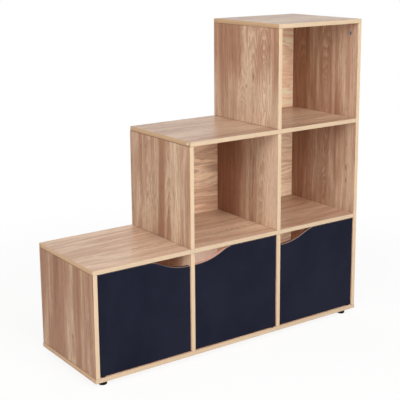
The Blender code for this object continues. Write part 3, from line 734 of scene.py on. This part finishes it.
def cast_zinc(name):
    """Cast cam: pitted grey metal, with painted shade in its cross recess and at its hub."""
    fitting = look().fittings
    low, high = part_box(name)
    face = low.x if name.startswith("right_side") else high.x
    finish = Finish(name.replace("_", " "))
    pits = finish.mottle(700.0, ORIGIN, 3.0, 0.7)
    sunk = abs(finish.x - face).rise(0.0002, 0.0007)
    apart = finish.from_axis(low, high)
    inside_rim, hub = apart.rise(0.0066, 0.0060), apart.rise(0.0042, 0.0030)
    # Painted shade: the sunk face inside the rim and the hub are darkened and made less metallic
    recess_shade = (sunk * inside_rim).most(hub * 0.7)
    colour = finish.mix(pits.rise(0.35, 0.75) * 0.4, fitting.zinc, fitting.recess)
    colour = finish.mix(recess_shade, colour, fitting.recess)
    metal = 0.55 - recess_shade * 0.4
    return finish.surface(colour, 0.42 + pits * 0.15, finish.height(pits, 0.00015, 0.4), metal)


def turned_steel(name, stretch):
    """Bright steel with fine marks round or along the piece."""
    fitting = look().fittings
    finish = Finish(name)
    marks = finish.mottle(stretch, (0.3, 1.7, 2.9), 3.0, 0.6)
    stain = finish.mottle(60.0, (2.0, 4.0, 6.0), 3.0)
    colour = finish.mix(stain.rise(0.5, 0.8) * 0.35, fitting.steel, fitting.recess)
    colour = finish.scale(colour, 0.9 + marks * 0.2)
    roughness = 0.26 + marks * 0.14 + stain * 0.06
    return finish.surface(colour, roughness, finish.height(marks, 0.00005, 0.3), 1.0)


def moulded(name, colour, roughness, worn):
    """Moulded plastic: slightly cloudy, fine texture, worn a little paler or darker in patches."""
    finish = Finish(name)
    cloud = finish.mottle(90.0, (1.0, 2.0, 3.0), 3.0)
    skin = finish.mottle(1400.0, (3.0, 2.0, 1.0))
    shade = finish.mix(cloud.rise(0.45, 0.8) * 0.5, colour, worn)
    return finish, shade, roughness + (skin - 0.5) * 0.12, finish.height(skin, 0.00006, 0.35)


def plain_plastic(name, colour, roughness, worn, gloss=0.5):
    """Moulded plastic that is alike all over."""
    finish, shade, rough, normal = moulded(name, colour, roughness, worn)
    return finish.surface(shade, rough, normal, gloss=gloss)


def catch_plastic(side):
    """White housing whose two poles, in front of it, are steel."""
    fitting = look().fittings
    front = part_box(f"{side}_magnetic_catch")[0].y
    finish, shade, rough, normal = moulded(f"{side} catch", fitting.white, 0.4, tone(214, 208, 198))
    pole = finish.y.rise(front + 0.00095, front + 0.00080)
    return finish.surface(finish.mix(pole, shade, fitting.steel), rough - pole * 0.08, normal, pole)


def plug_plastic(node, colour):
    """A plug cap: pale, with a ring of painted shadow round its rim where it meets the board."""
    finish, shade, rough, normal = moulded(node.replace("_", " "), colour, 0.42, tone(200, 190, 180))
    # Painted shadow: a dark ring round the rim
    rim = finish.from_axis(*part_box(node)).rise(0.0029, 0.0034)
    return finish.surface(finish.mix(rim * 0.75, shade, tone(120, 92, 70)), rough, normal)


def dowel_beech():
    """Rolled beech: straight fine grain with short dark flecks."""
    finish = Finish("beech dowels")
    grain = finish.mottle((500.0, 500.0, 40.0), (1.0, 5.0, 9.0), 3.0)
    fleck = finish.mottle((900.0, 900.0, 120.0), (4.0, 1.0, 2.0), 1.0).rise(0.62, 0.7)
    colour = finish.mix(grain.rise(0.3, 0.7) * 0.4, look().fittings.beech, tone(184, 140, 98))
    colour = finish.mix(fleck * 0.6, colour, tone(150, 104, 70))
    return finish.surface(colour, 0.6 + grain * 0.15, finish.height(grain, 0.0002, 0.3))


def screw_tree():
    """A cross-recessed screw head on each point, turned by chance round the way that it faces."""
    tree = bpy.data.node_groups.new("screw heads", "GeometryNodeTree")
    tree.interface.new_socket(name="Geometry", in_out="OUTPUT", socket_type="NodeSocketGeometry")
    for label, kind in (
        ("Points", "Geometry"),
        ("Head Diameter", "Float"),
        ("Dome", "Float"),
        ("Rim", "Float"),
        ("Slot Width", "Float"),
        ("Facing", "Vector"),
        ("Seed", "Int"),
        ("Material", "Material"),
    ):
        tree.interface.new_socket(name=label, in_out="INPUT", socket_type=f"NodeSocket{kind}")
    bench = Bench(tree)
    given = bench.node("NodeGroupInput")
    radius = given["Head Diameter"] * 0.5
    dome, rim, slot = given["Dome"], given["Rim"], given["Slot Width"]

    def joined(x, y, z):
        return bench.node("ShaderNodeCombineXYZ", {}, {"X": x, "Y": y, "Z": z})["Vector"]

    def shape(kind, **values):
        return bench.node(f"GeometryNodeMesh{kind}", {}, values)["Mesh"]

    def moved(geometry, **how):
        return bench.node("GeometryNodeTransform", {}, {"Geometry": geometry, **how})["Geometry"]

    def carved(way, **meshes):
        """A Boolean whose solver gives closed meshes, the same on every run."""
        values = {name.replace("_", " "): mesh for name, mesh in meshes.items()}
        settings = {"operation": way, "solver": "MANIFOLD"}
        return bench.node("GeometryNodeMeshBoolean", settings, values)["Mesh"]

    # The upper half of a flattened ball on a short skirt that overlaps it a little
    sides, overlap = 20, 0.02
    ball = shape("UVSphere", Segments=sides, Rings=14, Radius=1.0)
    block = shape("Cube", Size=joined(radius * 3.0, radius * 3.0, dome * 2.0))
    flattened = moved(ball, Scale=joined(radius, radius, dome))
    cap = carved("INTERSECT", Mesh_2=[flattened, moved(block, Translation=joined(0.0, 0.0, dome))])
    skirt = shape("Cylinder", Vertices=sides, Radius=radius, Depth=rim + dome * overlap)
    skirt = moved(skirt, Translation=joined(0.0, 0.0, rim * -0.5 + dome * (overlap / 2)))
    head = carved("UNION", Mesh_2=[cap, skirt])

    # Two bars take the cross out of it
    length, depth = radius * 1.15, dome * 1.6
    bars = [
        moved(shape("Cube", Size=joined(*size)), Translation=joined(0.0, 0.0, dome))
        for size in ((length, slot, depth), (slot, length, depth))
    ]
    cut = carved("DIFFERENCE", Mesh_1=head, Mesh_2=bars)

    towards = {"Vector": given["Facing"]}
    upright = bench.node("FunctionNodeAlignRotationToVector", {"axis": "Z"}, towards)["Rotation"]
    half_turn = {2: 0.0, 3: math.pi, "Seed": given["Seed"]}
    chance = bench.node("FunctionNodeRandomValue", {}, half_turn)["Value_001"]
    turn = {"Axis": (0.0, 0.0, 1.0), "Angle": chance}
    spin = bench.node("FunctionNodeAxisAngleToRotation", {}, turn)["Rotation"]
    both = {"Rotation": upright, "Rotate By": spin}
    turned = bench.node("FunctionNodeRotateRotation", {"rotation_space": "LOCAL"}, both)["Rotation"]
    copies = {"Points": given["Points"], "Instance": cut, "Rotation": turned}
    placed = bench.node("GeometryNodeInstanceOnPoints", {}, copies)["Instances"]
    real = bench.node("GeometryNodeRealizeInstances", {}, {"Geometry": placed})["Geometry"]
    dressed = {"Geometry": real, "Material": given["Material"]}
    steel = bench.node("GeometryNodeSetMaterial", {}, dressed)["Geometry"]
    bench.node("NodeGroupOutput", {}, {"Geometry": steel})
    return tree


def screws(name, body, points, facing, head, dome, rim):
    """One mesh of screw heads at the points, riding on a body."""
    sizes = look().screws
    tree = bpy.data.node_groups.get("screw heads") or screw_tree()
    steel = bpy.data.materials.get("screw steel") or turned_steel("screw steel", 900.0)
    seats = bpy.data.meshes.new(f"{name} seats")
    seats.from_pydata(points, [], [])
    carrier = put(f"{name}_seats", seats)
    modifier = carrier.modifiers.new("Screw heads", "NODES")
    modifier.node_group = tree
    values = {
        "Head Diameter": head,
        "Dome": dome,
        "Rim": rim,
        "Slot Width": sizes.slot_width,
        "Facing": facing,
        "Seed": sizes.seed,
        "Material": steel,
    }
    for item in tree.interface.items_tree:
        if item.in_out == "INPUT" and item.name in values:
            modifier[item.identifier] = values[item.name]
    graph = bpy.context.evaluated_depsgraph_get()
    mesh = bpy.data.meshes.new_from_object(carrier.evaluated_get(graph))
    mesh.name = name
    if not mesh.polygons:
        raise RuntimeError(f"{name} came out empty")
    carrier.modifiers.remove(modifier)
    bpy.data.objects.remove(carrier)
    bpy.data.meshes.remove(seats)
    heads = put(name, mesh)
    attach(heads, body)


class BOOKCASE_OT_boards(bpy.types.Operator):
    """Gives the level boards and uprights their oak print and edge tapes"""

    bl_idname = "bookcase.boards"
    bl_label = "Boards and Uprights"

    def execute(self, context):
        for name, print_of in BOARDS.items():
            dress(name, oak_board(name, **print_of))
        return {"FINISHED"}


class BOOKCASE_OT_backs(bpy.types.Operator):
    """Gives the thin back panels their wavy grain"""

    bl_idname = "bookcase.backs"
    bl_label = "Back Panels"

    def execute(self, context):
        for name, print_of in BACKS.items():
            dress(name, oak_back(name, **print_of))
        return {"FINISHED"}


class BOOKCASE_OT_doors(bpy.types.Operator):
    """Gives the three doors navy faces and paler edges, and lets the lamps into the cubes behind them"""

    bl_idname = "bookcase.doors"
    bl_label = "Doors"

    def execute(self, context):
        for side in SIDES:
            dress(f"{side}_door", navy_slab(side))
            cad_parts[f"{side}_door"].visible_shadow = False
            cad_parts[f"{side}_door"].visible_diffuse = False
        return {"FINISHED"}


class BOOKCASE_OT_hinges(bpy.types.Operator):
    """Finishes the hinge pins and their bushes"""

    bl_idname = "bookcase.hinges"
    bl_label = "Hinge Pins and Bushes"

    def execute(self, context):
        pin = turned_steel("pin steel", (120.0, 120.0, 1600.0))
        bush = plain_plastic("bush plastic", look().fittings.black, 0.42, tone(40, 36, 32))
        for side in SIDES:
            for end in ("lower", "upper"):
                dress(f"{side}_door_{end}_pin", pin)
                dress(f"{side}_door_{end}_bush", bush)
        return {"FINISHED"}


class BOOKCASE_OT_catches(bpy.types.Operator):
    """Finishes the magnetic catches and the strike plates on the doors"""

    bl_idname = "bookcase.catches"
    bl_label = "Catches and Strike Plates"

    def execute(self, context):
        plate = turned_steel("strike plate steel", (40.0, 900.0, 1500.0))
        for side in SIDES:
            dress(f"{side}_magnetic_catch", catch_plastic(side))
            dress(f"{side}_strike_plate", plate)
        return {"FINISHED"}


class BOOKCASE_OT_joints(bpy.types.Operator):
    """Finishes the cam locks, their bolts and the dowels"""

    bl_idname = "bookcase.joints"
    bl_label = "Cam Locks, Bolts and Dowels"

    def execute(self, context):
        bolt = turned_steel("bolt steel", (300.0, 300.0, 1800.0))
        beech = dowel_beech()
        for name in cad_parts:
            if name.endswith("_cam_lock"):
                dress(name, cast_zinc(name))
            elif name.endswith("_cam_bolt"):
                dress(name, bolt)
            elif name.endswith("_dowel"):
                dress(name, beech)
        return {"FINISHED"}


class BOOKCASE_OT_feet(bpy.types.Operator):
    """Finishes the four round feet"""

    bl_idname = "bookcase.feet"
    bl_label = "Feet"

    def execute(self, context):
        black = plain_plastic("foot plastic", look().fittings.black, 0.48, tone(30, 27, 24), 0.12)
        for place in ("front_left", "front_right", "rear_left", "rear_right"):
            dress(f"foot_{place}", black)
        return {"FINISHED"}


class BOOKCASE_OT_plugs(bpy.types.Operator):
    """Finishes the plugs in the ends of the boards"""

    bl_idname = "bookcase.plugs"
    bl_label = "End Plugs"

    def execute(self, context):
        fitting = look().fittings
        for board, colour in (("level_2_board", fitting.white), ("bottom_board", fitting.beige)):
            dress(f"{board}_end_plug", plug_plastic(f"{board}_end_plug", colour))
        return {"FINISHED"}


class BOOKCASE_OT_screws(bpy.types.Operator):
    """Adds the screws of the catches, of the strike plates and under the bottom board"""

    bl_idname = "bookcase.screws"
    bl_label = "Screws"

    def execute(self, context):
        sizes = look().screws
        lug_inset, lug_from_back, lug_height = 5 * MILLIMETRE, 6 * MILLIMETRE, 2.2 * MILLIMETRE
        catch_rim, board_rim, board_inset = 0.4 * MILLIMETRE, 0.3 * MILLIMETRE, 0.045
        up, back, down = (0.0, 0.0, 1.0), (0.0, 1.0, 0.0), (0.0, 0.0, -1.0)
        seats = []
        for side in SIDES:
            low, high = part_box(f"{side}_magnetic_catch")
            for x in (low.x + lug_inset, high.x - lug_inset):
                seats.append((x, high.y - lug_from_back, low.z + lug_height))
        screws("catch_screws", "carcass", seats, up, sizes.catch_head, sizes.dome, catch_rim)
        for side in SIDES:
            low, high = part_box(f"{side}_strike_plate")
            seats = [((low.x + high.x) / 2, high.y - sizes.flat_dome, (low.z + high.z) / 2)]
            rim = high.y - low.y - sizes.flat_dome
            body = f"{side}_door_body"
            screws(f"{side}_strike_screw", body, seats, back, sizes.plate_head, sizes.flat_dome, rim)
        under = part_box("bottom_board")[0].z
        seats = []
        for name in ("left_side_panel", "lower_divider_1", "lower_divider_2", "right_side_panel"):
            low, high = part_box(name)
            for y in (low.y + board_inset, high.y - board_inset):
                seats.append(((low.x + high.x) / 2, y, under))
        screws("bottom_board_screws", "carcass", seats, down, sizes.board_head, sizes.flat_dome, board_rim)
        return {"FINISHED"}


def seen(bench):
    """1 for a ray from the camera, a mirror or glass, and 0 for the light that falls on the bookcase."""
    path = bench.node("ShaderNodeLightPath")
    return path["Is Camera Ray"].most(path["Is Glossy Ray"]).most(path["Is Transmission Ray"])


def lamp(name, power, turn, rise):
    """A soft square lamp that looks at the bookcase; turn is to the left of the front, in degrees."""
    studio = look().studio
    light = bpy.data.lights.new(name, "AREA")
    light.energy, light.size = power, studio.lamp_size
    holder = put(name, light)
    low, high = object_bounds()
    turn, rise = math.radians(turn), math.radians(rise)
    away = Vector((-math.sin(turn) * math.cos(rise), -math.cos(turn) * math.cos(rise), math.sin(rise)))
    holder.location = (low + high) / 2 + away * studio.lamp_distance
    holder.rotation_euler = (-away).to_track_quat("-Z", "Y").to_euler()
    holder.visible_glossy = False
    holder.visible_camera = False


def floor_plane():
    """A wide floor that shows white and keeps a soft shadow round the feet."""
    studio = look().studio
    level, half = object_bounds()[0].z, FLOOR_HALF_SIDE
    mesh = bpy.data.meshes.new("floor")
    corners = [(-half, -half), (half, -half), (half, half), (-half, half)]
    mesh.from_pydata([(x, y, level) for x, y in corners], [], [(0, 1, 2, 3)])
    floor = put("floor", mesh)
    finish = Finish("floor")
    speck = finish.mottle(300.0, ORIGIN)
    apart = (finish.x * finish.x + finish.y * finish.y) ** 0.5
    plain = finish.scale(studio.floor, 0.985 + speck * 0.03)
    matt = finish.node("ShaderNodeBsdfDiffuse", {}, {"Color": plain})["BSDF"]
    white = finish.node("ShaderNodeEmission", {}, {"Color": WHITE, "Strength": 1.0})["Emission"]
    share = seen(finish) * (1.0 - studio.shadow_share * apart.rise(*SHADOW_REACH))
    shader = finish.node("ShaderNodeMixShader", {}, {0: share, 1: matt, 2: white})["Shader"]
    finish.node("ShaderNodeOutputMaterial", {}, {"Surface": shader})
    mesh.materials.append(finish.material)
    floor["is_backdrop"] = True


def studio_world():
    """Even light from all round, seen and mirrored as white."""
    world = bpy.data.worlds.new("studio")
    world.use_nodes = True
    bpy.context.scene.world = world
    bench = Bench(world.node_tree)
    soft, white = (
        bench.node("ShaderNodeBackground", {}, {"Color": WHITE, "Strength": level})["Background"]
        for level in (look().studio.world_level, 1.0)
    )
    both = bench.node("ShaderNodeMixShader", {}, {0: seen(bench), 1: soft, 2: white})["Shader"]
    bench.node("ShaderNodeOutputWorld", {}, {"Surface": both})


def studio_camera():
    """The camera at the photograph's place, with a slight lens shift."""
    studio = look().studio
    data = bpy.data.cameras.new("camera")
    data.lens = studio.lens
    data.sensor_width = SENSOR_WIDTH
    data.shift_y = studio.lens_shift
    camera = put("camera", data)
    turn, tip, roll = studio.camera_turn, studio.camera_tip, studio.camera_roll
    right = Vector((math.cos(turn), -math.sin(turn), 0.0))
    ahead = Vector((math.sin(turn) * math.cos(tip), math.cos(turn) * math.cos(tip), -math.sin(tip)))
    above = right.cross(ahead)
    across = right * math.cos(roll) + above * math.sin(roll)
    upward = above * math.cos(roll) - right * math.sin(roll)
    axes = Matrix((across, upward, -ahead)).transposed().to_4x4()
    camera.matrix_world = Matrix.Translation(studio.camera_place) @ axes
    bpy.context.scene.camera = camera


class BOOKCASE_OT_studio(bpy.types.Operator):
    """Sets the pale floor, the soft lamps, the white surroundings and the camera"""

    bl_idname = "bookcase.studio"
    bl_label = "Studio"

    def execute(self, context):
        floor_plane()
        studio_world()
        for place, (turn, rise) in LAMPS.items():
            lamp(f"{place} lamp", getattr(look().studio, f"{place}_power"), turn, rise)
        studio_camera()
        context.scene.view_settings.view_transform = "Standard"
        return {"FINISHED"}


OPERATORS = (
    BOOKCASE_OT_boards,
    BOOKCASE_OT_backs,
    BOOKCASE_OT_doors,
    BOOKCASE_OT_hinges,
    BOOKCASE_OT_catches,
    BOOKCASE_OT_joints,
    BOOKCASE_OT_feet,
    BOOKCASE_OT_plugs,
    BOOKCASE_OT_screws,
    BOOKCASE_OT_studio,
)


class BOOKCASE_PT_looks(bpy.types.Panel):
    """Lists the bookcase's finishes and pieces"""

    bl_idname = "BOOKCASE_PT_looks"
    bl_label = "Cube Bookcase"
    bl_space_type = "VIEW_3D"
    bl_region_type = "UI"
    bl_category = "Bookcase"

    def draw(self, context):
        for operator in OPERATORS:
            self.layout.operator(operator.bl_idname)
        for group in (look().oak, look().doors, look().fittings, look().screws, look().studio):
            box = self.layout.box()
            for name in group.bl_rna.properties.keys():
                if name not in ("rna_type", "name"):
                    box.prop(group, name)


CLASSES = (
    OakLook, DoorLook, FittingLook, ScrewSizes, StudioLook, BookcaseLook, *OPERATORS, BOOKCASE_PT_looks
)


def register():
    """Makes the classes known to Blender and gives the scene its looks."""
    for item in CLASSES:
        bpy.utils.register_class(item)
    bpy.types.Scene.bookcase_look = PointerProperty(type=BookcaseLook)


def unregister():
    """Takes back what register did."""
    del bpy.types.Scene.bookcase_look
    for item in reversed(CLASSES):
        bpy.utils.unregister_class(item)


def main():
    """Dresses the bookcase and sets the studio."""
    register()
    bpy.ops.bookcase.boards()
    bpy.ops.bookcase.backs()
    bpy.ops.bookcase.doors()
    bpy.ops.bookcase.hinges()
    bpy.ops.bookcase.catches()
    bpy.ops.bookcase.joints()
    bpy.ops.bookcase.feet()
    bpy.ops.bookcase.plugs()
    bpy.ops.bookcase.screws()
    bpy.ops.bookcase.studio()


if __name__ == "__main__":
    main()
